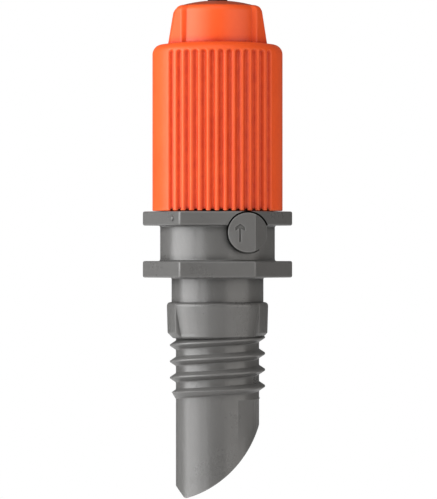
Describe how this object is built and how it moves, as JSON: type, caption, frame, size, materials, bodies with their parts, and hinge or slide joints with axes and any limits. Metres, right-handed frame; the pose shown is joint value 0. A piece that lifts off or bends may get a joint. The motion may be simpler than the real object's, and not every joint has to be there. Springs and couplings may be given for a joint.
{
  "type": "adjustable micro-irrigation spray nozzle",
  "caption": "Screw-in spray nozzle for a micro-irrigation pipe: ribbed regulating cap on a body with hex flanges, barbed collar, self-tapping thread and slanted spigot.",
  "frame": {"origin": "on the nozzle's axis, at the underside of the lower hexagonal flange, which rests on the pipe", "axes": "+Z along the nozzle's axis, the way the water leaves; -Y is the side with the marking pad; +X is the side that the slanted tip opens to"},
  "size_m": [0.0082, 0.0072, 0.028],
  "materials": {
    "grey_plastic": "moulded, satin",
    "dark_plastic": "moulded, satin",
    "black_rubber": "moulded rubber",
    "orange_plastic": "moulded, semi-gloss"
  },
  "bodies": {
    "nozzle": {"threaded_body": "grey_plastic", "spray_pin": "dark_plastic"},
    "seal": {"cap_seal_ring": "black_rubber"},
    "cap": {"regulating_cap": "orange_plastic"}
  },
  "joints": [
    {"name": "cap_rise", "type": "slide", "parent": "nozzle", "child": "seal", "axis": [0, 0, 1], "range_m": [0, 0.00125]},
    {"name": "cap_turn", "type": "hinge", "parent": "seal", "child": "cap", "pos_m": [0, 0, 0.0094], "axis": [0, 0, 1], "range_deg": [0, 450]}
  ],
  "couplings": [
    {"joint": "cap_turn", "follows": "cap_rise", "rad_per_m": 6283.2}
  ]
}
